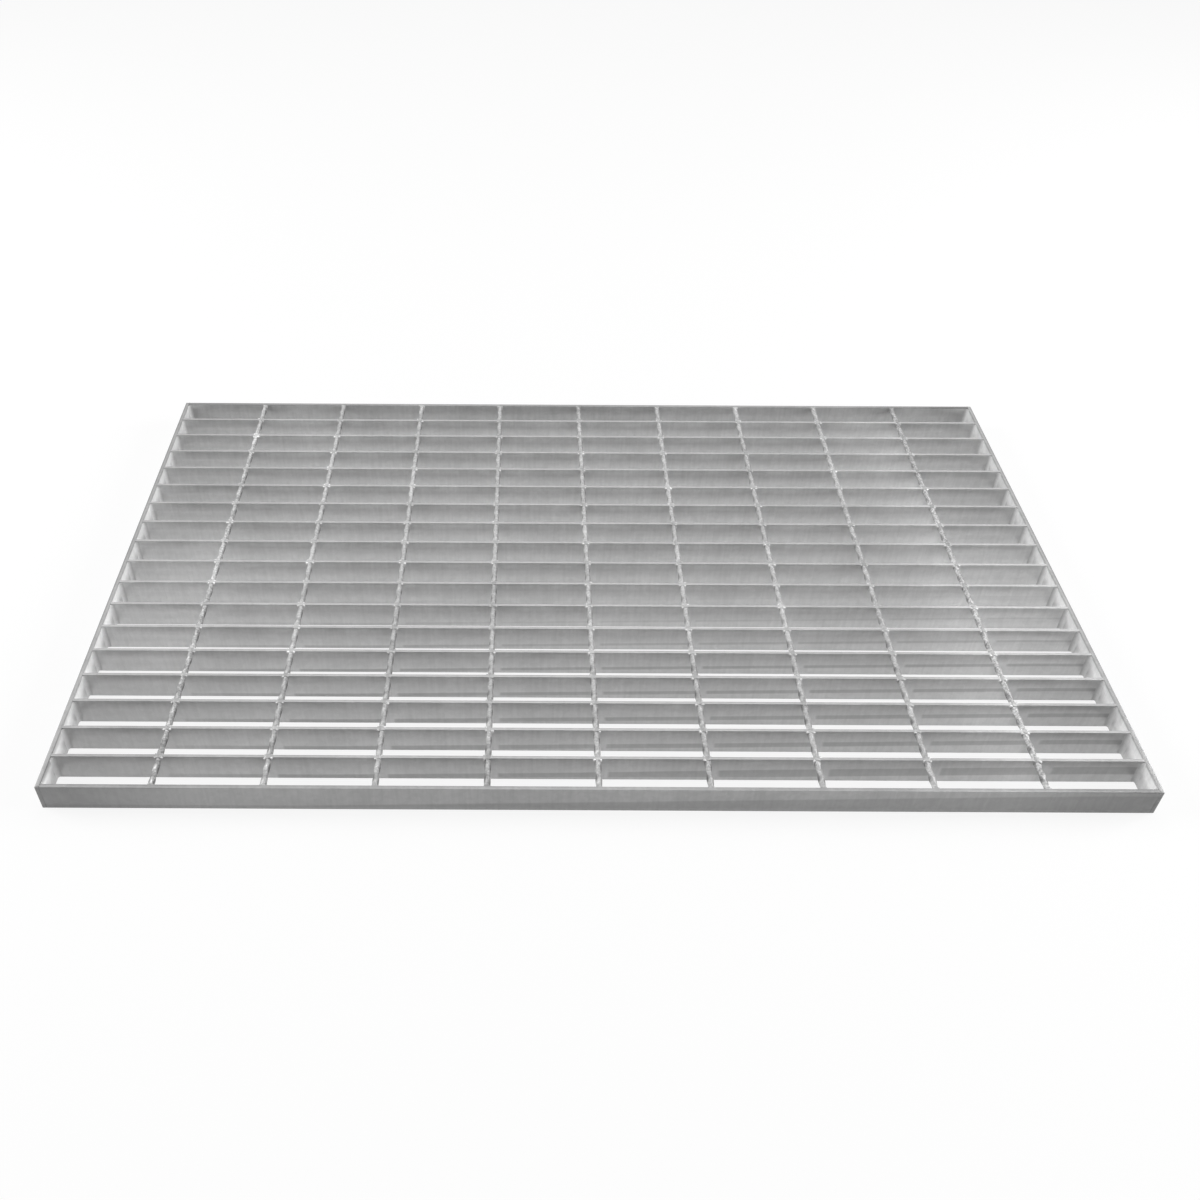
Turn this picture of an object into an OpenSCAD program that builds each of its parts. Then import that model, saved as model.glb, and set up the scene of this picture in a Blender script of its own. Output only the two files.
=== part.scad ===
// Welded steel grating panel, lying flat with its walking side up.
// Flat bearing bars run along X and stand on edge. Twisted square rods cross them along Y, pressed
// into their upper edges. A flat band closes each of the four sides.
// The origin is the centre of the underside.

/* [Panel] */
// Overall length, along the bearing bars
panel_l = 1004; // [400:1:1400]
// Overall width, across the bearing bars
panel_w = 600; // [200:1:900]

/* [Bearing bars] */
// Depth of a bearing bar, from the underside to the walking surface
bar_h = 30; // [20:1:60]
// Thickness of a bearing bar
bar_t = 3; // [2:0.5:6]
// Distance between the centres of neighbouring bearing bars
bar_pitch = 33; // [20:1:60]

/* [Cross rods] */
// Side of the square rod before it is twisted
rod_side = 4.5; // [3:0.1:7]
// Distance between the centres of neighbouring rods
rod_pitch = 100; // [80:1:150]
// Length over which a rod makes one full turn
rod_lead = 66; // [45:1:120]
// Height of the rods' corners above the bearing bars
rod_proud = 0.4; // [0.1:0.1:1]

/* [Edge bands] */
// Thickness of the flat that makes the edge bands
band_t = 4; // [3:0.5:8]
// Leg of the fillet weld in each upright corner beside an end band
weld_leg = 3; // [1:0.5:4]

/* [Hidden] */
bar_zinc = [0.66, 0.67, 0.68];
band_zinc = [0.58, 0.59, 0.6];

// Straight steps that make up each turn of a rod
turn_steps = 12;
// Narrowest gap left between a band and the bar or rod beside it
end_gap = 5;
// Height that a weld stops short of the bars' edges
weld_stop = 1.5;

// Length of the bearing bars and of the long bands, which fit between the end bands
bar_l = panel_l - 2 * band_t;
// Length of the rods, which fit between the long bands
rod_l = panel_w - 2 * band_t;
// Bars and rods on each side of the middle one
bars_beside = floor(((rod_l - bar_t) / 2 - end_gap) / bar_pitch);
rods_beside = floor(((bar_l - rod_side) / 2 - end_gap) / rod_pitch);
// Height of a rod's centre line, half a diagonal below its highest corners
rod_z = bar_h + rod_proud - rod_side / sqrt(2);
// Degrees through which a whole rod is twisted
rod_turn = 360 * rod_l / rod_lead;

// One flat bar standing on edge
module bearing_bar() {
    translate([-bar_l / 2, -bar_t / 2, 0]) cube([bar_l, bar_t, bar_h]);
}

// One twisted square rod along Y, with a flat uppermost at its middle
module cross_rod() {
    translate([0, 0, rod_z])
        rotate([90, 0, 0])
            rotate(rod_turn / 2)
                linear_extrude(height = rod_l, center = true, twist = rod_turn,
                               slices = ceil(rod_turn * turn_steps / 360), segments = 4)
                    square(rod_side, center = true);
}

// Fillet weld standing in the corner between two upright faces, which run from it along +X and +Y
module fillet_weld() {
    translate([0, 0, weld_stop])
        linear_extrude(height = bar_h - 2 * weld_stop)
            polygon([[0, 0], [weld_leg, 0], [0, weld_leg]]);
}

// A fillet weld at each end of a bar or long band, on its front or back face:
// face_y is where that face lies, and out is 1 where it looks along +Y and -1 where it looks along -Y
module end_welds(face_y, out) {
    for (side = [-1, 1])
        translate([side * bar_l / 2, face_y, 0])
            mirror([side > 0 ? 1 : 0, 0, 0]) mirror([0, out > 0 ? 0 : 1, 0]) fillet_weld();
}

// Bars and rods, which are one piece of steel once each crossing is welded
module grating() {
    color(bar_zinc) {
        for (i = [-bars_beside : bars_beside]) translate([0, i * bar_pitch, 0]) {
            bearing_bar();
            end_welds(-bar_t / 2, -1);
        }
        for (i = [-rods_beside : rods_beside]) translate([i * rod_pitch, 0, 0]) cross_rod();
    }
}

// Flat across the ends of the bearing bars: side is -1 on the left and 1 on the right
module end_band(side) {
    color(band_zinc)
        translate([side * (panel_l - band_t) / 2 - band_t / 2, -panel_w / 2, 0])
            cube([band_t, panel_w, bar_h]);
}

// Flat across the ends of the rods, between the end bands: side is -1 at the front and 1 at the back
module long_band(side) {
    color(band_zinc) {
        translate([-bar_l / 2, side * (panel_w - band_t) / 2 - band_t / 2, 0])
            cube([bar_l, band_t, bar_h]);
        end_welds(side * rod_l / 2, -side);
    }
}

module left_band() { end_band(-1); }
module right_band() { end_band(1); }
module front_band() { long_band(-1); }
module back_band() { long_band(1); }

grating();
left_band();
right_band();
front_band();
back_band();
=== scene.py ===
import bpy
import bmesh
import math
import random
from mathutils import Matrix, Vector


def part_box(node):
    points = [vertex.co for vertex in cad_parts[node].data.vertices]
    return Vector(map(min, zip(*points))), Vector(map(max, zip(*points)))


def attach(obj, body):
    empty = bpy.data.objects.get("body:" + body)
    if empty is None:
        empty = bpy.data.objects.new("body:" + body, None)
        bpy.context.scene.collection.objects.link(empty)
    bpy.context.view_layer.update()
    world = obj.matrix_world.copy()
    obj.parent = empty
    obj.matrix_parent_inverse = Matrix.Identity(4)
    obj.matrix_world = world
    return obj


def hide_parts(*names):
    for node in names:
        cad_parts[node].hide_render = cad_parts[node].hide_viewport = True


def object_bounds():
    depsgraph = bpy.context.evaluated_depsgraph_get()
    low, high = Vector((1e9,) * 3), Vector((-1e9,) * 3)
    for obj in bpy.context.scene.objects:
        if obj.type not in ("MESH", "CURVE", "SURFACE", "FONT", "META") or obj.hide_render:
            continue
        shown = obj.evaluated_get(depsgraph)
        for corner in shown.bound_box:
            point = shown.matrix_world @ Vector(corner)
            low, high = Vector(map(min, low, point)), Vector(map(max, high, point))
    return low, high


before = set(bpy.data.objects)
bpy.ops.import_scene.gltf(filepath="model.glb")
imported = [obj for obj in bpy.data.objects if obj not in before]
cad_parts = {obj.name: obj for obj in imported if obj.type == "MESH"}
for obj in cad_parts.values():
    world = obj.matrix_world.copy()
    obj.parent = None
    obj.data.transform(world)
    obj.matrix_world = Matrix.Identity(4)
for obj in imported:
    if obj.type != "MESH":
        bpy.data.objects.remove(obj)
cadLow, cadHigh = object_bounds()
print("frame loaded:", len(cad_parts), "nodes")

mm = 0.001
diceSeed = 7
dice = random.Random(diceSeed)

# the sizes that every piece shares: all but the two pitches are read from the solids
endBandLow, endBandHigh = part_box("right_band")
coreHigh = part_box("grating")[1]
panel = {
    "width": cadHigh.y - cadLow.y,
    "barTop": endBandHigh.z,
    "crown": coreHigh.z,  # highest corners of the rods
    "insideX": endBandLow.x,  # inner face of an end band
    "insideY": coreHigh.y,  # inner face of a long band
    "barPitch": 33 * mm,
    "rodPitch": 100 * mm,
}


# modelling helpers

def deselectAll():
    if bpy.context.mode != "OBJECT":
        bpy.ops.object.mode_set(mode="OBJECT")
    bpy.ops.object.select_all(action="DESELECT")


def openForEdit(piece):
    deselectAll()
    piece.select_set(True)
    bpy.context.view_layer.objects.active = piece
    bpy.ops.object.mode_set(mode="EDIT")


def closeEdit():
    bpy.ops.object.mode_set(mode="OBJECT")


def pickEdges(piece, wanted):  # selects the edges of which wanted is true
    bpy.ops.mesh.select_mode(type="EDGE")
    bpy.ops.mesh.select_all(action="DESELECT")
    mesh = bmesh.from_edit_mesh(piece.data)
    for edge in mesh.edges:
        edge.select_set(wanted(edge))
    mesh.select_flush_mode()
    bmesh.update_edit_mesh(piece.data)


def addBlock(name, low, high):  # a block between two corners, left open for editing
    deselectAll()
    bpy.ops.mesh.primitive_cube_add(size=1, location=(low + high) / 2)
    piece = bpy.context.object
    piece.name = name
    piece.scale = high - low
    bpy.ops.object.transform_apply(location=True, rotation=True, scale=True)
    openForEdit(piece)
    return piece


nearlyStraight = 0.99


def runsAlong(edge, axis):
    way = (edge.verts[1].co - edge.verts[0].co).normalized()
    return abs(way[axis]) > nearlyStraight


def roundPicked(width, steps, profile=0.5):
    bpy.ops.mesh.bevel(offset=width, segments=steps, profile=profile)


def copyOf(piece, name, move=Matrix.Identity(4)):
    twin = piece.copy()
    twin.data = piece.data.copy()
    twin.name = name
    twin.data.transform(move)
    bpy.context.scene.collection.objects.link(twin)
    return twin


def joinAll(parts, name):
    deselectAll()
    for part in parts:
        part.select_set(True)
    bpy.context.view_layer.objects.active = parts[0]
    bpy.ops.object.join()
    parts[0].name = name
    return parts[0]


def roughen(piece, jitter, seed):
    openForEdit(piece)
    bpy.ops.mesh.select_all(action="SELECT")
    bpy.ops.transform.vertex_random(offset=jitter, seed=seed)
    closeEdit()


def finishPiece(piece, material, smoothBelow=40):
    deselectAll()
    piece.select_set(True)
    bpy.context.view_layer.objects.active = piece
    bpy.ops.object.shade_smooth_by_angle(angle=math.radians(smoothBelow))
    piece.data.materials.clear()
    piece.data.materials.append(material)
    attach(piece, "root")


# node helpers for the galvanised finishes

fadeIn = (0, 1)  # levels at the start and the end of a stretch
fadeOut = (1, 0)


def addNode(tree, kind, **values):
    node = tree.nodes.new("ShaderNode" + kind)
    for name, value in values.items():
        setattr(node, name, value)
    return node


def noise(tree, place, scale, detail):
    node = addNode(tree, "TexNoise")
    node.inputs["Scale"].default_value = scale
    node.inputs["Detail"].default_value = detail
    tree.links.new(place, node.inputs["Vector"])
    return node.outputs["Fac"]


def spread(tree, source, limits, levels):  # maps one range onto another, and holds it at the ends
    node = addNode(tree, "MapRange")
    sockets = ("From Min", "From Max", "To Min", "To Max")
    for socket, value in zip(sockets, (*limits, *levels)):
        node.inputs[socket].default_value = value
    tree.links.new(source, node.inputs["Value"])
    return node.outputs["Result"]


def combine(tree, operation, first, second=0):
    node = addNode(tree, "Math", operation=operation)
    for number, source in enumerate((first, second)):
        if isinstance(source, (int, float)):
            node.inputs[number].default_value = source
        else:
            tree.links.new(source, node.inputs[number])
    return node.outputs["Value"]


def times(tree, first, *others):
    for other in others:
        first = combine(tree, "MULTIPLY", first, other)
    return first


def lighten(tree, tone, amount):
    return times(tree, tone, combine(tree, "ADD", 1, amount))


def darken(tree, tone, amount):
    return times(tree, tone, combine(tree, "SUBTRACT", 1, amount))


def dimTo(tree, tone, amount, level):  # the level is reached where the amount is 1
    return times(tree, tone, spread(tree, amount, (0, 1), (1, level)))


def sizeOf(tree, source):  # without its sign
    return combine(tree, "ABSOLUTE", source)


def axesOf(tree, place):
    axes = addNode(tree, "SeparateXYZ")
    tree.links.new(place, axes.inputs["Vector"])
    return [axes.outputs[axis] for axis in "XYZ"]


zincPattern = {  # scale and detail of each noise
    "clouds": (26, 4),
    "drifts": (7, 1),
    "grain": (1400, 2),
    "lumps": (260, 3),
    "crystals": 190,  # scale alone
    "streaks": (330, 330, 22),  # scale along each axis: they run up and down the flats
    "streakDetail": 2,
    "middle": (0.3, 0.7),  # the part of a noise's range that is used
    "bump": 0.35,
}
topEdge = (29.4 * mm, 29.8 * mm)  # heights over which the face of a flat turns into its top


def zinc(name, finish, addMarks=None):  # addMarks adds the tones that follow the place, most of them painted light and shade
    material = bpy.data.materials.new(name)
    material.use_nodes = True
    tree = material.node_tree
    surface = tree.nodes["Principled BSDF"]
    place = addNode(tree, "TexCoord").outputs["Object"]

    clouds = noise(tree, place, *zincPattern["clouds"])
    drifts = noise(tree, place, *zincPattern["drifts"])
    grain = noise(tree, place, *zincPattern["grain"])
    lumps = noise(tree, place, *zincPattern["lumps"])

    crystals = addNode(tree, "TexVoronoi")
    crystals.inputs["Scale"].default_value = zincPattern["crystals"]
    tree.links.new(place, crystals.inputs["Vector"])
    crystalTone = addNode(tree, "SeparateColor")
    tree.links.new(crystals.outputs["Color"], crystalTone.inputs["Color"])

    stretch = addNode(tree, "Mapping")
    stretch.inputs["Scale"].default_value = zincPattern["streaks"]
    tree.links.new(place, stretch.inputs["Vector"])
    streaks = noise(tree, stretch.outputs["Vector"], 1, zincPattern["streakDetail"])

    tone = 1
    for pattern, amount in (
        (clouds, finish["mottle"]),
        (drifts, finish["mottle"] / 2),
        (crystalTone.outputs["Red"], finish["spangle"]),
        (streaks, finish.get("streaks", 0)),
        (grain, finish["grain"]),
    ):
        if amount:
            factor = spread(tree, pattern, zincPattern["middle"], (1 - amount, 1 + amount))
            tone = times(tree, tone, factor)
    if addMarks:
        tone = addMarks(tree, place, tone)

    shade = times(tree, tone, finish["shade"])
    grey = addNode(tree, "CombineColor")
    for channel in ("Red", "Green", "Blue"):
        tree.links.new(shade, grey.inputs[channel])
    tree.links.new(grey.outputs["Color"], surface.inputs["Base Color"])
    rough = spread(tree, clouds, zincPattern["middle"], finish["rough"])
    tree.links.new(rough, surface.inputs["Roughness"])

    ripple = addNode(tree, "Bump")
    ripple.inputs["Strength"].default_value = zincPattern["bump"]
    ripple.inputs["Distance"].default_value = finish["ripple"]
    tree.links.new(lumps, ripple.inputs["Height"])
    tree.links.new(ripple.outputs["Normal"], surface.inputs["Normal"])

    surface.inputs["Metallic"].default_value = finish["metal"]
    return material


# zinc on the bearing bars
# a pair named for X, Y or Z is a stretch of the panel, and the pair after it the levels at its ends

barFinish = {
    "shade": 0.528,
    "metal": 0.5,
    "rough": (0.34, 0.46),
    "mottle": 0.05,
    "spangle": 0.025,
    "streaks": 0.04,
    "grain": 0.03,
    "ripple": 0.05 * mm,
}
# painted shade on the tops of the flats, and a painted highlight on them towards the right
topLightAndShade = {
    "shade": 0.8,
    "lift": 0.2,  # painted highlight: paler tops towards the right
    "liftX": (0.33, 0.39),
}
paintedPaleRun = {  # painted light: paler faces near the last rod on the right
    "lift": 0.17,
    "startX": (0.3, 0.395),
    "endX": (0.401, 0.406),
}
endBayLight = {  # painted light and shade on the faces near the end bands
    "left": {"limits": (-0.37, -0.41), "levels": (0.04, -0.08)},  # at the middle and the outer flats
    "right": {"limits": (0.401, 0.406), "levels": (0.11, -0.05)},
    "middleY": -0.05,
    "fromMiddle": (0.07, 0.14),
    "glow": 0.18,  # painted light, paler again at mid height
    "glowTop": (25.5 * mm, 21.5 * mm),
    "glowFoot": (17 * mm, 11 * mm),
    "glowY": (-0.21, -0.13),
    "glowShare": (0.3, 1),  # at the front and further back
}
heightLight = {  # painted light: the faces are paler near the top and near the foot
    "upper": 0.2,
    "upperZ": (20.5 * mm, 25.5 * mm),
    "rimZ": (27 * mm, 29.3 * mm),
    "rimShare": (1, 0.4),
    "rightX": (0.25, 0.42),
    "rightShare": (1, 0.4),
    "foot": 0.2,
    "footZ": (14.5 * mm, 5 * mm),
    "frontY": (-0.2, -0.05),
    "frontShare": (0.45, 1),
}
darkReflection = {  # painted reflection: a faint darker band across the faces, from a little right of one rod to the next
    "dark": 0.27,
    "x": (-0.25, 0.45),
    "height": (2.2 * mm, 15.4 * mm),  # it rises to the right
    "riseX": (0.1, 0.45),
    "rise": (0, 1.2 * mm),  # more on the flats nearest the front
    "riseY": (-0.231, -0.15),
    "thickY": (-0.231, -0.066),
    "thick": (2.4 * mm, 0.5 * mm),  # half of its thickness, from front to back
    "firstY": (-0.262, -0.235),
    "firstThick": (2.2 * mm, 0),  # added on the flat nearest the front
    "firstX": (-0.05, 0.15),
    "firstShade": 0.95,  # and painted shade makes that flat a little darker
    "soft": 1.3 * mm,
    "cellScale": 0.984,
    "cellShift": 1.1 * mm,
    "cellStart": (0.08, 0.105),  # shares of a cell
    "cellEnd": (-0.015, 0),
    "lastX": (0.405, 0.415),
    "lastCell": (1, 0.93),  # it ends sooner past the last rod
    "leftX": (-0.45, -0.3),
    "backY": (-0.02, -0.13),
}


# paints the dark reflection as a band across the faces of the flats
def addDarkReflection(tree, tone, x, y, z):
    mark = darkReflection
    rise = spread(tree, x, mark["riseX"], mark["rise"])
    rise = times(tree, rise, spread(tree, y, mark["riseY"], fadeOut))
    height = combine(tree, "ADD", spread(tree, x, mark["x"], mark["height"]), rise)
    away = sizeOf(tree, combine(tree, "SUBTRACT", z, height))
    past = combine(tree, "SUBTRACT", away, spread(tree, y, mark["thickY"], mark["thick"]))
    thicker = spread(tree, y, mark["firstY"], mark["firstThick"])
    thicker = times(tree, thicker, spread(tree, x, mark["firstX"], fadeIn))
    past = combine(tree, "SUBTRACT", past, thicker)
    tone = times(tree, tone, spread(tree, y, mark["firstY"], (mark["firstShade"], 1)))

    shifted = combine(tree, "SUBTRACT", times(tree, x, mark["cellScale"]), mark["cellShift"])
    phase = combine(tree, "FRACT", combine(tree, "DIVIDE", shifted, panel["rodPitch"]))
    toEnd = combine(tree, "SUBTRACT", phase, spread(tree, x, mark["lastX"], mark["lastCell"]))
    strength = times(
        tree,
        spread(tree, past, (0, mark["soft"]), fadeOut),
        spread(tree, phase, mark["cellStart"], fadeIn),
        spread(tree, toEnd, mark["cellEnd"], fadeOut),
        spread(tree, x, mark["leftX"], fadeIn),
        spread(tree, y, mark["backY"], fadeIn),
    )
    return dimTo(tree, tone, strength, 1 - mark["dark"])


def barMarks(tree, place, tone):
    x, y, z = axesOf(tree, place)
    # painted shade on the tops, with a painted highlight towards the right
    tone = times(tree, tone, spread(tree, z, topEdge, (1, topLightAndShade["shade"])))
    pale = times(
        tree,
        spread(tree, z, topEdge, (0, topLightAndShade["lift"])),
        spread(tree, x, topLightAndShade["liftX"], fadeIn),
    )
    tone = lighten(tree, tone, pale)

    # painted light on the faces near the last rod on the right
    run = times(
        tree,
        spread(tree, x, paintedPaleRun["startX"], (0, paintedPaleRun["lift"])),
        spread(tree, x, paintedPaleRun["endX"], fadeOut),
    )
    tone = lighten(tree, tone, run)

    # painted light and shade on the faces near the end bands
    glow = times(
        tree,
        spread(tree, z, endBayLight["glowTop"], (0, endBayLight["glow"])),
        spread(tree, z, endBayLight["glowFoot"], fadeOut),
        spread(tree, y, endBayLight["glowY"], endBayLight["glowShare"]),
    )
    fromMiddle = sizeOf(tree, combine(tree, "SUBTRACT", y, endBayLight["middleY"]))
    for side in ("left", "right"):
        level = spread(tree, fromMiddle, endBayLight["fromMiddle"], endBayLight[side]["levels"])
        level = combine(tree, "ADD", level, glow)
        tone = lighten(tree, tone, times(tree, spread(tree, x, endBayLight[side]["limits"], fadeIn), level))

    # painted light near the top and near the foot of the faces
    upper = times(
        tree,
        spread(tree, z, heightLight["upperZ"], (0, heightLight["upper"])),
        spread(tree, z, heightLight["rimZ"], heightLight["rimShare"]),
        spread(tree, x, heightLight["rightX"], heightLight["rightShare"]),
    )
    foot = spread(tree, z, heightLight["footZ"], (0, heightLight["foot"]))
    frontShare = spread(tree, y, heightLight["frontY"], heightLight["frontShare"])
    tone = lighten(tree, tone, times(tree, combine(tree, "ADD", upper, foot), frontShare))
    return addDarkReflection(tree, tone, x, y, z)


# zinc on the rods

rodFinish = {
    "shade": 0.44,
    "metal": 0.4,
    "rough": (0.38, 0.52),
    "mottle": 0.14,
    "spangle": 0.08,
    "grain": 0.12,
    "ripple": 0.25 * mm,
}
rodTones = {
    "hollow": 0.56,  # painted shade on the flanks below the top
    "hollowZ": (26.4 * mm, 29.5 * mm),
    "rightX": (0.05, 0.3),
    "rightShare": (1, 0.5),
    "hollowCell": (0.2, 0.34),  # shares of the way from one flat to the next
    "flatShare": (0.3, 1),  # less near a flat
    # painted light: the rods are paler further back
    "backY": (-0.2, 0.02),
    "backLift": (1, 1.18),
    "lumpNoise": (480, 2),
    "lumpMiddle": (0.35, 0.65),
    "outerX": (0.385, 0.39),
    "lumps": (0.17, 0.34),  # the outermost two took up more zinc
    # painted shade on the right flank of each rod
    "flankX": (0.7 * mm, 2.2 * mm),  # from the rod's own axis
    "flankShade": (1, 0.66),
    "fluteShade": 0.3,  # painted shade once between flats, darkest on the left
    "fluteStart": (0.2, 0.32),
    "fluteEnd": (0.4, 0.54),
    "fluteX": (-1.4 * mm, 0.9 * mm),
    "fluteShare": (1, 0.25),
    "fluteY": (-0.16, 0),
    "fluteBack": (1, 0.3),
}


def rodMarks(tree, place, tone):
    x, y, z = axesOf(tree, place)
    along = combine(tree, "FRACT", combine(tree, "DIVIDE", y, panel["barPitch"]))
    # painted shade on the flanks of the rods, less on the right ones and near a flat
    hollow = times(
        tree,
        spread(tree, z, rodTones["hollowZ"], (rodTones["hollow"], 0)),
        spread(tree, x, rodTones["rightX"], rodTones["rightShare"]),
        spread(tree, along, rodTones["hollowCell"], rodTones["flatShare"]),
    )
    tone = darken(tree, tone, hollow)
    # painted light, the rods paler further back
    tone = times(tree, tone, spread(tree, y, rodTones["backY"], rodTones["backLift"]))

    lumps = noise(tree, place, *rodTones["lumpNoise"])
    uneven = spread(tree, lumps, rodTones["lumpMiddle"], (-1, 1))
    share = spread(tree, sizeOf(tree, x), rodTones["outerX"], rodTones["lumps"])
    tone = lighten(tree, tone, times(tree, uneven, share))

    # painted shade on the right flank of each rod
    inCell = combine(tree, "ADD", combine(tree, "DIVIDE", x, panel["rodPitch"]), 0.5)
    inCell = combine(tree, "SUBTRACT", combine(tree, "FRACT", inCell), 0.5)
    fromAxis = times(tree, inCell, panel["rodPitch"])
    tone = times(tree, tone, spread(tree, fromAxis, rodTones["flankX"], rodTones["flankShade"]))
    # painted shade once between flats
    fluteShade = times(
        tree,
        spread(tree, along, rodTones["fluteStart"], fadeIn),
        spread(tree, along, rodTones["fluteEnd"], fadeOut),
        spread(tree, fromAxis, rodTones["fluteX"], rodTones["fluteShare"]),
        spread(tree, y, rodTones["fluteY"], rodTones["fluteBack"]),
    )
    return dimTo(tree, tone, fluteShade, 1 - rodTones["fluteShade"])


# zinc on the bands

bandFinish = {
    # this pale shade paints light on the inner faces; the marks below shade the tops and outer faces
    "shade": 0.92,
    "metal": 0.38,
    "rough": (0.34, 0.48),
    "mottle": 0.06,
    "spangle": 0.03,
    "streaks": 0.05,
    "grain": 0.03,
    "ripple": 0.1 * mm,
}
bandZones = {  # where a face, an edge or a top starts, past the inner faces of the bands
    "outerShadeShare": (0.1 * mm, 1.0 * mm),
    "outerShadeZ": (27 * mm, 29.3 * mm),
    "longInside": (-0.3 * mm, -0.05 * mm),
    "outside": (2 * mm, 3 * mm),
    "endBand": (-0.1 * mm, 0),
    "endInside": (0.1 * mm, 0.6 * mm),
    "topZ": (29 * mm, 29.5 * mm),
}
bandTones = {
    "outerShade": 0.46,  # painted light and shade: the tops and outer faces are darker than the pale inner ones
    "longInside": 0.88,  # share of it on the inner faces of the long bands
    # painted shade on the tops
    "topShade": 0.86,
    "footLevelX": (-0.27, 0.45),
    "footLevel": (5 * mm, 24.6 * mm),  # painted shade on the foot of the outer faces, its edge rising to the right
    "footSoft": (-0.9 * mm, 0.9 * mm),
    "foot": 0.21,
    "hemZ": (2 * mm, 5 * mm),
    "hemShare": (0.4, 1),
    # painted shade on the outer faces towards the left end
    "leftX": (-0.38, -0.46),
    "left": 0.12,
    # painted shade at the foot of the end bands' inner faces
    "innerFootZ": (10 * mm, 20 * mm),
    "innerFoot": 0.3,
    "shadowZ": (22 * mm, 26 * mm),  # painted shadow on the left band's inner face near the front
    "shadow": 0.42,
    "shadowY": (-0.2, -0.27),
    "shadowX": (-0.1, 0.1),
    "tipsX": ((-0.36, -0.49), (0.36, 0.49)),  # painted shade on the outer faces, towards the left and right ends
    "tips": (0.3, 0.38),
    "topTipsX": ((-0.25, -0.48), (0.35, 0.48)),  # and painted shade on the tops of the long bands
    "topTips": (0.28, 0.48),
    "endTopsX": (-0.01, 0.01),
    "endTops": (-0.06, -0.2),  # painted highlight: the tops of the end bands are paler, left and right
}


def bandMarks(tree, place, tone):
    x, y, z = axesOf(tree, place)
    pastEnd = combine(tree, "SUBTRACT", sizeOf(tree, x), panel["insideX"])
    pastLong = combine(tree, "SUBTRACT", sizeOf(tree, y), panel["insideY"])
    outward = combine(tree, "MAXIMUM", pastEnd, pastLong)
    # painted light and shade: inner faces pale, tops and outer faces darker
    outerShadeShare = combine(
        tree,
        "MAXIMUM",
        spread(tree, outward, bandZones["outerShadeShare"], fadeIn),
        spread(tree, z, bandZones["outerShadeZ"], fadeIn),
    )
    longInside = spread(tree, pastLong, bandZones["longInside"], (0, bandTones["longInside"]))
    outerShadeShare = combine(tree, "MAXIMUM", outerShadeShare, longInside)
    tone = dimTo(tree, tone, outerShadeShare, bandTones["outerShade"])

    outside = spread(tree, outward, bandZones["outside"], fadeIn)
    longFaces = spread(tree, pastLong, bandZones["outside"], fadeIn)
    onEnd = spread(tree, pastEnd, bandZones["endBand"], fadeIn)
    endInside = times(tree, onEnd, spread(tree, pastEnd, bandZones["endInside"], fadeOut))
    onTop = spread(tree, z, bandZones["topZ"], fadeIn)
    endTop = times(tree, onTop, onEnd)
    longTop = combine(tree, "SUBTRACT", onTop, endTop)

    # painted shade on the foot of the long bands' outer faces
    footLevel = spread(tree, x, bandTones["footLevelX"], bandTones["footLevel"])
    aboveFoot = combine(tree, "SUBTRACT", z, footLevel)
    foot = times(
        tree,
        spread(tree, aboveFoot, bandTones["footSoft"], (bandTones["foot"], 0)),
        spread(tree, z, bandTones["hemZ"], bandTones["hemShare"]),
    )
    shadow = times(
        tree,
        spread(tree, z, bandTones["shadowZ"], (0, bandTones["shadow"])),
        spread(tree, y, bandTones["shadowY"], fadeIn),
        spread(tree, x, bandTones["shadowX"], fadeOut),
    )
    # painted shade on the band faces and tops, and a painted highlight on the tops of the end bands
    darker = [
        (foot, longFaces),
        (spread(tree, x, bandTones["leftX"], (0, bandTones["left"])), longFaces),
        (shadow, endInside),
        (spread(tree, z, bandTones["innerFootZ"], (bandTones["innerFoot"], 0)), endInside),
        (spread(tree, x, bandTones["endTopsX"], bandTones["endTops"]), endTop),
    ]
    for side in (0, 1):
        tip = spread(tree, x, bandTones["tipsX"][side], (0, bandTones["tips"][side]))
        topTip = spread(tree, x, bandTones["topTipsX"][side], (0, bandTones["topTips"][side]))
        darker += [(tip, outside), (topTip, longTop)]
    for amount, where in darker:
        tone = darken(tree, tone, times(tree, amount, where))
    # painted shade on the tops of the bands
    return times(tree, tone, spread(tree, z, topEdge, (1, bandTones["topShade"])))


# zinc on the welds

crossingFinish = {
    "shade": 0.43,
    "metal": 0.4,
    "rough": (0.42, 0.58),
    "mottle": 0.2,
    "spangle": 0.1,
    "grain": 0.15,
    "ripple": 0.25 * mm,
}
flashFinish = {
    # the beads are real metal; their paler shade is a painted highlight
    "shade": 0.68,
    "metal": 0.4,
    "rough": (0.3, 0.45),
    "mottle": 0.25,
    "spangle": 0.1,
    "grain": 0.2,
    "ripple": 0.2 * mm,
}
weldFinish = {
    "shade": 0.54,
    "metal": 0.2,
    "rough": (0.48, 0.6),
    "mottle": 0.06,
    "spangle": 0.03,
    "grain": 0.05,
    "ripple": 0.06 * mm,
}
weldTones = {  # painted light: paler towards the end band, carrying on from its pale inner face
    "fromBand": (0.2 * mm, 3 * mm),
    "lift": (1.5, 1),
}


def weldMarks(tree, place, tone):
    x = axesOf(tree, place)[0]
    # painted light, paler towards the end band
    fromBand = combine(tree, "SUBTRACT", panel["insideX"], sizeOf(tree, x))
    return times(tree, tone, spread(tree, fromBand, weldTones["fromBand"], weldTones["lift"]))


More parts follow.
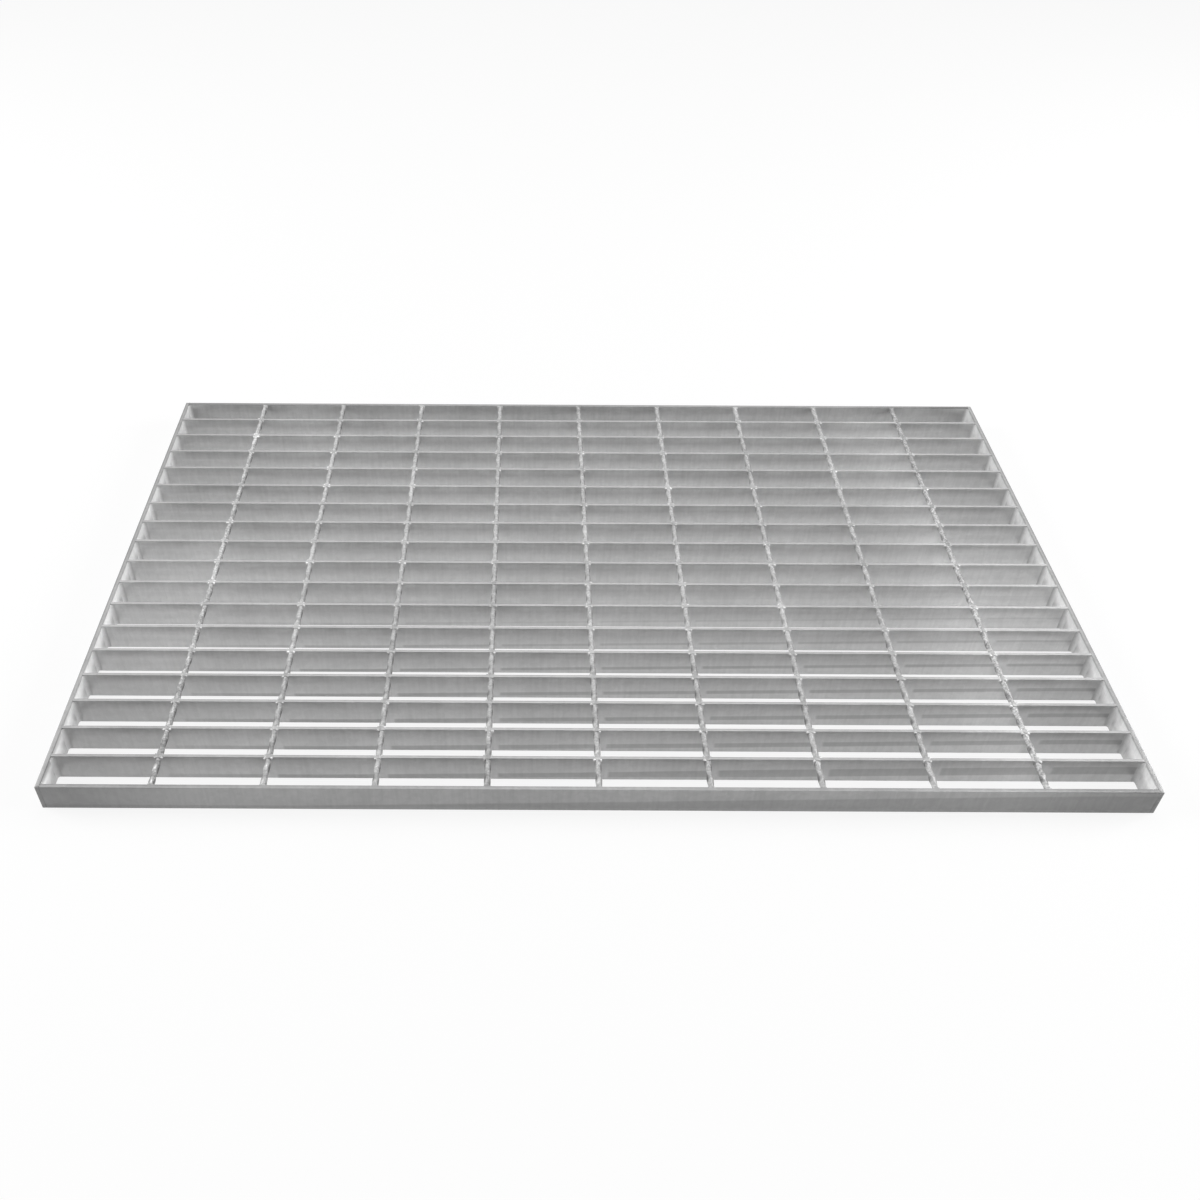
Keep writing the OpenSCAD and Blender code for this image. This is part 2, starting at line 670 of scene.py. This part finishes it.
barZinc = zinc("barZinc", barFinish, barMarks)
rodZinc = zinc("rodZinc", rodFinish, rodMarks)
bandZinc = zinc("bandZinc", bandFinish, bandMarks)
crossingZinc = zinc("crossingZinc", crossingFinish)
flashZinc = zinc("flashZinc", flashFinish)
weldZinc = zinc("weldZinc", weldFinish, weldMarks)
print("finishes made")


# bearing bars and the rods that cross them

barSpec = {
    "count": 17,
    "pitch": panel["barPitch"],
    "thick": 3 * mm,
    "edgeRound": 0.28 * mm,
    "roundSteps": 2,
}
rodSpec = {
    "count": 9,
    "pitch": panel["rodPitch"],
    "side": 4.5 * mm,
    "lead": 66 * mm,
    "cornerRound": 0.25 * mm,
    "roundSteps": 2,
    "jitter": 0.1 * mm,
    "outerJitter": 0.22 * mm,  # the outermost two are rougher
    "cuts": (12, 15),  # first cuts, then cuts of each part
    "smoothBelow": 50,
}


def rowOf(spec):
    return [(i - (spec["count"] - 1) / 2) * spec["pitch"] for i in range(spec["count"])]


barYs = rowOf(barSpec)
rodXs = rowOf(rodSpec)
rodZ = panel["crown"] - rodSpec["side"] / math.sqrt(2)


def makeBars():
    half = Vector((panel["insideX"], barSpec["thick"] / 2, 0))
    low = Vector((-half.x, -half.y, 0))
    high = Vector((half.x, half.y, panel["barTop"]))
    bar = addBlock("bar", low, high)
    pickEdges(bar, lambda edge: runsAlong(edge, 0))
    roundPicked(barSpec["edgeRound"], barSpec["roundSteps"])
    closeEdit()
    copies = [copyOf(bar, "bar", Matrix.Translation((0, y, 0))) for y in barYs]
    bpy.data.objects.remove(bar)
    bars = joinAll(copies, "bearing_bars")
    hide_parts("grating")
    finishPiece(bars, barZinc)


def makeRods():
    half = Vector((rodSpec["side"] / 2, panel["insideY"], rodSpec["side"] / 2))
    rod = addBlock("rod", -half, half)
    pickEdges(rod, lambda edge: runsAlong(edge, 1))
    roundPicked(rodSpec["cornerRound"], rodSpec["roundSteps"])
    for cuts in rodSpec["cuts"]:
        pickEdges(rod, lambda edge: runsAlong(edge, 1))
        bpy.ops.mesh.subdivide(number_cuts=cuts)
    closeEdit()
    twist = rod.modifiers.new("twist", "SIMPLE_DEFORM")
    twist.deform_method = "TWIST"
    twist.deform_axis = "Y"
    turns = 2 * panel["insideY"] / rodSpec["lead"]
    twist.angle = -turns * math.tau
    bpy.ops.object.modifier_apply(modifier=twist.name)
    copies = []
    for number, x in enumerate(rodXs):
        copy = copyOf(rod, "rod")
        outermost = number in (0, rodSpec["count"] - 1)
        roughen(copy, rodSpec["outerJitter" if outermost else "jitter"], number + 1)
        highest = max(vertex.co.z for vertex in copy.data.vertices)
        drop = max(0, rodZ + highest - panel["crown"])
        copy.data.transform(Matrix.Translation((x, 0, rodZ - drop)))
        copies.append(copy)
    bpy.data.objects.remove(rod)
    rods = joinAll(copies, "cross_rods")
    finishPiece(rods, rodZinc, rodSpec["smoothBelow"])


# edge bands

bandSpec = {
    "edgeRound": 0.5 * mm,
    "roundSteps": 2,
}


def makeBand(node):
    low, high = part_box(node)
    if node in ("front_band", "back_band"):  # without the welds at its ends
        outer = -1 if node == "front_band" else 1
        faces = sorted((outer * panel["width"] / 2, outer * panel["insideY"]))
        low = Vector((low.x, faces[0], low.z))
        high = Vector((high.x, faces[1], high.z))
    band = addBlock(node, low, high)
    pickEdges(band, lambda edge: True)
    roundPicked(bandSpec["edgeRound"], bandSpec["roundSteps"])
    closeEdit()
    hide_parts(node)
    band.name = node + "_flat"
    finishPiece(band, bandZinc)


# welds

crossingSpec = {
    "size": (5.4 * mm, 4.8 * mm, 2.4 * mm),
    "round": 0.7 * mm,
    "roundSteps": 2,
    "jitter": 0.28 * mm,
    "spread": 0.14,
    "turn": 10,
    "sink": 0.22 * mm,  # how far below the crown the lowest tops lie
    "finish": crossingZinc,
}
flashSpec = {  # beads squeezed out where a rod was pressed into a flat
    "size": (2.3 * mm, 2.3 * mm, 2.3 * mm),
    "round": 0.5 * mm,
    "roundSteps": 1,
    "jitter": 0.25 * mm,
    "spread": 0.3,
    "turn": 25,
    "sink": 0.5 * mm,
    "finish": flashZinc,
    "aside": 2.8 * mm,
    "proud": 0.25 * mm,  # past the face of the flat
    "share": 0.7,  # of the corners that have one
    "stray": 0.4 * mm,
}
rodEndSpec = {
    "size": (6.6 * mm, 2.8 * mm, 5.2 * mm),
    "round": 1.2 * mm,
    "roundSteps": 2,
    "jitter": 0.3 * mm,
    "spread": 0.15,
    "turn": 0,
    "sink": 0.6 * mm,
    "finish": crossingZinc,
}
filletSpec = {
    "leg": 4.6 * mm,
    "sink": 0.2 * mm,  # into the flat and the band
    "low": 1.5 * mm,
    "high": 28.5 * mm,
    "hollow": 0.1,  # profile of the bevel that hollows its face
    "reach": 0.97,  # how much of a leg that bevel takes
    "roundSteps": 7,
    "cuts": 9,
    "jitter": 0.04 * mm,
    "smoothBelow": 80,
}
cornerSpec = {
    "wide": 2.6 * mm,
    "deep": 1.2 * mm,
    "inset": 0.02 * mm,  # below the outer face
    "low": 0.4 * mm,
    "belowTop": 0.1 * mm,
    "round": 0.5 * mm,
    "roundSteps": 2,
    "cuts": 10,
    "smoothBelow": 60,
}
lumpSpec = {"kinds": 9, "smoothBelow": 75}


def makeLump(spec):  # a small rounded block of squeezed or deposited metal
    half = Vector(spec["size"]) / 2
    lump = addBlock("lump", -half, half)
    pickEdges(lump, lambda edge: True)
    roundPicked(spec["round"], spec["roundSteps"])
    closeEdit()
    return lump


def scatterLumps(spec, places, name):
    plain = makeLump(spec)
    kinds = []
    for seed in range(lumpSpec["kinds"]):
        kind = copyOf(plain, "lump")
        roughen(kind, spec["jitter"], seed + 1)
        kinds.append(kind)
    lumps = []
    for place in places:
        stretch = [1 + dice.uniform(-1, 1) * spec["spread"] for _ in range(3)]
        angle = dice.uniform(-1, 1) * spec["turn"] + dice.choice((0, 180))
        turn = Matrix.Rotation(math.radians(angle), 4, "Z")
        copy = copyOf(dice.choice(kinds), "lump", turn @ Matrix.Diagonal((*stretch, 1)))
        highest = max(vertex.co.z for vertex in copy.data.vertices)
        top = panel["crown"] - dice.random() * spec["sink"]
        copy.data.transform(Matrix.Translation((place[0], place[1], top - highest)))
        lumps.append(copy)
    for spare in [plain] + kinds:
        bpy.data.objects.remove(spare)
    finishPiece(joinAll(lumps, name), spec["finish"], lumpSpec["smoothBelow"])


def makeFillets():  # hollow welds in the corners where a flat meets an end band
    leg = filletSpec["leg"]
    sink = filletSpec["sink"]
    low = Vector((-sink, -leg + sink, filletSpec["low"]))
    high = Vector((leg - sink, sink, filletSpec["high"]))
    fillet = addBlock("fillet", low, high)

    def isOuter(edge):
        foot = edge.verts[0].co
        return runsAlong(edge, 2) and foot.x > sink and foot.y < -sink

    pickEdges(fillet, isOuter)
    roundPicked(filletSpec["reach"] * leg, filletSpec["roundSteps"], filletSpec["hollow"])
    pickEdges(fillet, lambda edge: runsAlong(edge, 2))
    bpy.ops.mesh.subdivide(number_cuts=filletSpec["cuts"])
    closeEdit()
    halfBar = barSpec["thick"] / 2
    corners = [(y - halfBar, 0) for y in barYs]
    corners += [(panel["insideY"], 0), (-panel["insideY"], 90)]
    fillets = []
    for number, (y, turn) in enumerate(corners):
        for side in (-1, 1):
            # unturned it fills the corner to the right of and in front of its own corner point
            angle = turn if side < 0 else -90 - turn
            spin = Matrix.Rotation(math.radians(angle), 4, "Z")
            place = Matrix.Translation((side * panel["insideX"], y, 0))
            copy = copyOf(fillet, "fillet")
            roughen(copy, filletSpec["jitter"], 2 * number + side + 2)
            copy.data.transform(place @ spin)
            fillets.append(copy)
    bpy.data.objects.remove(fillet)
    fillets = joinAll(fillets, "bar_end_welds")
    finishPiece(fillets, weldZinc, filletSpec["smoothBelow"])


def makeCornerSeams():  # upright welds, dressed flush, that close the joints at the four corners
    seams = []
    for side in (-1, 1):
        for end in (-1, 1):
            x = side * panel["insideX"]
            faceY = end * panel["width"] / 2
            ys = sorted((faceY - end * cornerSpec["inset"], faceY - end * cornerSpec["deep"]))
            low = Vector((x - cornerSpec["wide"] / 2, ys[0], cornerSpec["low"]))
            high = Vector((x + cornerSpec["wide"] / 2, ys[1], panel["barTop"] - cornerSpec["belowTop"]))
            seam = addBlock("seam", low, high)
            pickEdges(seam, lambda edge: runsAlong(edge, 2))
            bpy.ops.mesh.subdivide(number_cuts=cornerSpec["cuts"])
            pickEdges(seam, lambda edge: runsAlong(edge, 2))
            roundPicked(cornerSpec["round"], cornerSpec["roundSteps"])
            closeEdit()
            seams.append(seam)
    seams = joinAll(seams, "corner_seams")
    finishPiece(seams, bandZinc, cornerSpec["smoothBelow"])


def makeWelds():
    crossings = [(x, y) for y in barYs for x in rodXs]
    ends = [(x, side * panel["insideY"]) for side in (-1, 1) for x in rodXs]
    stray = flashSpec["stray"]
    reach = barSpec["thick"] / 2 + flashSpec["proud"]
    beads = [
        (x + side * flashSpec["aside"] + dice.uniform(-stray, stray), y + face * reach)
        for x, y in crossings
        for side in (-1, 1)
        for face in (-1, 1)
        if dice.random() < flashSpec["share"]
    ]
    scatterLumps(crossingSpec, crossings, "crossing_welds")
    scatterLumps(flashSpec, beads, "weld_flash")
    scatterLumps(rodEndSpec, ends, "rod_end_welds")
    makeFillets()
    makeCornerSeams()


makeBars()
makeRods()
for node in ("left_band", "right_band", "front_band", "back_band"):
    makeBand(node)
print("flats and rods made")
makeWelds()
print("welds made")


# floor, lamps and camera

plainWhite = (1, 1, 1, 1)
floorSpec = {
    "size": 30,
    "shade": 0.76,
    "seenShade": 0.98,
    "plain": 0.86,  # how much of the floor shows as even white
    "rough": 0.9,
    "gloss": 0,
    "white": 1,
}


def seenDirectly(tree):  # 1 for the rays that show the background itself
    rays = addNode(tree, "LightPath")
    seen = combine(tree, "MAXIMUM", rays.outputs["Is Camera Ray"], rays.outputs["Is Glossy Ray"])
    return combine(tree, "MAXIMUM", seen, rays.outputs["Is Transmission Ray"])


def makeFloor():
    deselectAll()
    bpy.ops.mesh.primitive_plane_add(size=floorSpec["size"], location=(0, 0, 0))
    floor = bpy.context.object
    floor.name = "floor"
    material = bpy.data.materials.new("paleFloor")
    material.use_nodes = True
    tree = material.node_tree
    surface = tree.nodes["Principled BSDF"]
    paler = times(tree, seenDirectly(tree), floorSpec["seenShade"] - floorSpec["shade"])
    tree.links.new(combine(tree, "ADD", paler, floorSpec["shade"]), surface.inputs["Base Color"])
    surface.inputs["Roughness"].default_value = floorSpec["rough"]
    surface.inputs["Specular IOR Level"].default_value = floorSpec["gloss"]
    glow = addNode(tree, "Emission")
    glow.inputs["Strength"].default_value = floorSpec["white"]
    blend = addNode(tree, "MixShader")
    share = times(tree, seenDirectly(tree), floorSpec["plain"])
    tree.links.new(share, blend.inputs["Fac"])
    tree.links.new(surface.outputs[0], blend.inputs[1])
    tree.links.new(glow.outputs[0], blend.inputs[2])
    tree.links.new(blend.outputs[0], tree.nodes["Material Output"].inputs["Surface"])
    floor.data.materials.append(material)


lampSpec = [
    # name, place, size, power
    ("overhead", (0, 1.0, 2.6), 1.7, 11),
    ("leftSide", (-2.5, 0.25, 1.35), 1.4, 54),
    ("rightSide", (2.4, 0.15, 0.9), 1.4, 60),
]


def makeLamps():
    for name, place, size, power in lampSpec:
        light = bpy.data.lights.new(name, "AREA")
        light.shape = "SQUARE"
        light.size = size
        light.energy = power
        lamp = bpy.data.objects.new(name, light)
        bpy.context.scene.collection.objects.link(lamp)
        lamp.location = place
        lamp.rotation_euler = (-Vector(place)).to_track_quat("-Z", "Y").to_euler()


worldSpec = {"fill": 0.28, "white": 1}


def makeWorld():
    world = bpy.data.worlds.new("studio")
    bpy.context.scene.world = world
    world.use_nodes = True
    tree = world.node_tree
    fill = tree.nodes["Background"]
    fill.inputs["Color"].default_value = plainWhite
    fill.inputs["Strength"].default_value = worldSpec["fill"]
    white = addNode(tree, "Background")
    white.inputs["Color"].default_value = plainWhite
    white.inputs["Strength"].default_value = worldSpec["white"]
    blend = addNode(tree, "MixShader")
    tree.links.new(seenDirectly(tree), blend.inputs["Fac"])
    tree.links.new(fill.outputs[0], blend.inputs[1])
    tree.links.new(white.outputs[0], blend.inputs[2])
    tree.links.new(blend.outputs[0], tree.nodes["World Output"].inputs["Surface"])


cameraSpec = {
    "place": (-0.0669, -0.9419, 0.8861),
    "tilt": 50.206,  # from straight down
    "turn": -0.011,
    "roll": 0.289,
    "lens": 35.199,
    "sensor": 36,
    "shift": (0.0619, -0.0738),
    "nearest": 0.01,
}


def makeCamera():
    data = bpy.data.cameras.new("camera")
    data.lens = cameraSpec["lens"]
    data.sensor_width = cameraSpec["sensor"]
    data.shift_x, data.shift_y = cameraSpec["shift"]
    data.clip_start = cameraSpec["nearest"]
    camera = bpy.data.objects.new("camera", data)
    bpy.context.scene.collection.objects.link(camera)
    aim = Matrix.Rotation(math.radians(cameraSpec["turn"]), 4, "Z")
    aim = aim @ Matrix.Rotation(math.radians(cameraSpec["tilt"]), 4, "X")
    aim = aim @ Matrix.Rotation(math.radians(cameraSpec["roll"]), 4, "Z")
    camera.matrix_world = Matrix.Translation(cameraSpec["place"]) @ aim
    bpy.context.scene.camera = camera


makeFloor()
makeLamps()
makeWorld()
makeCamera()
bpy.context.scene.view_settings.view_transform = "Standard"
print("studio made")
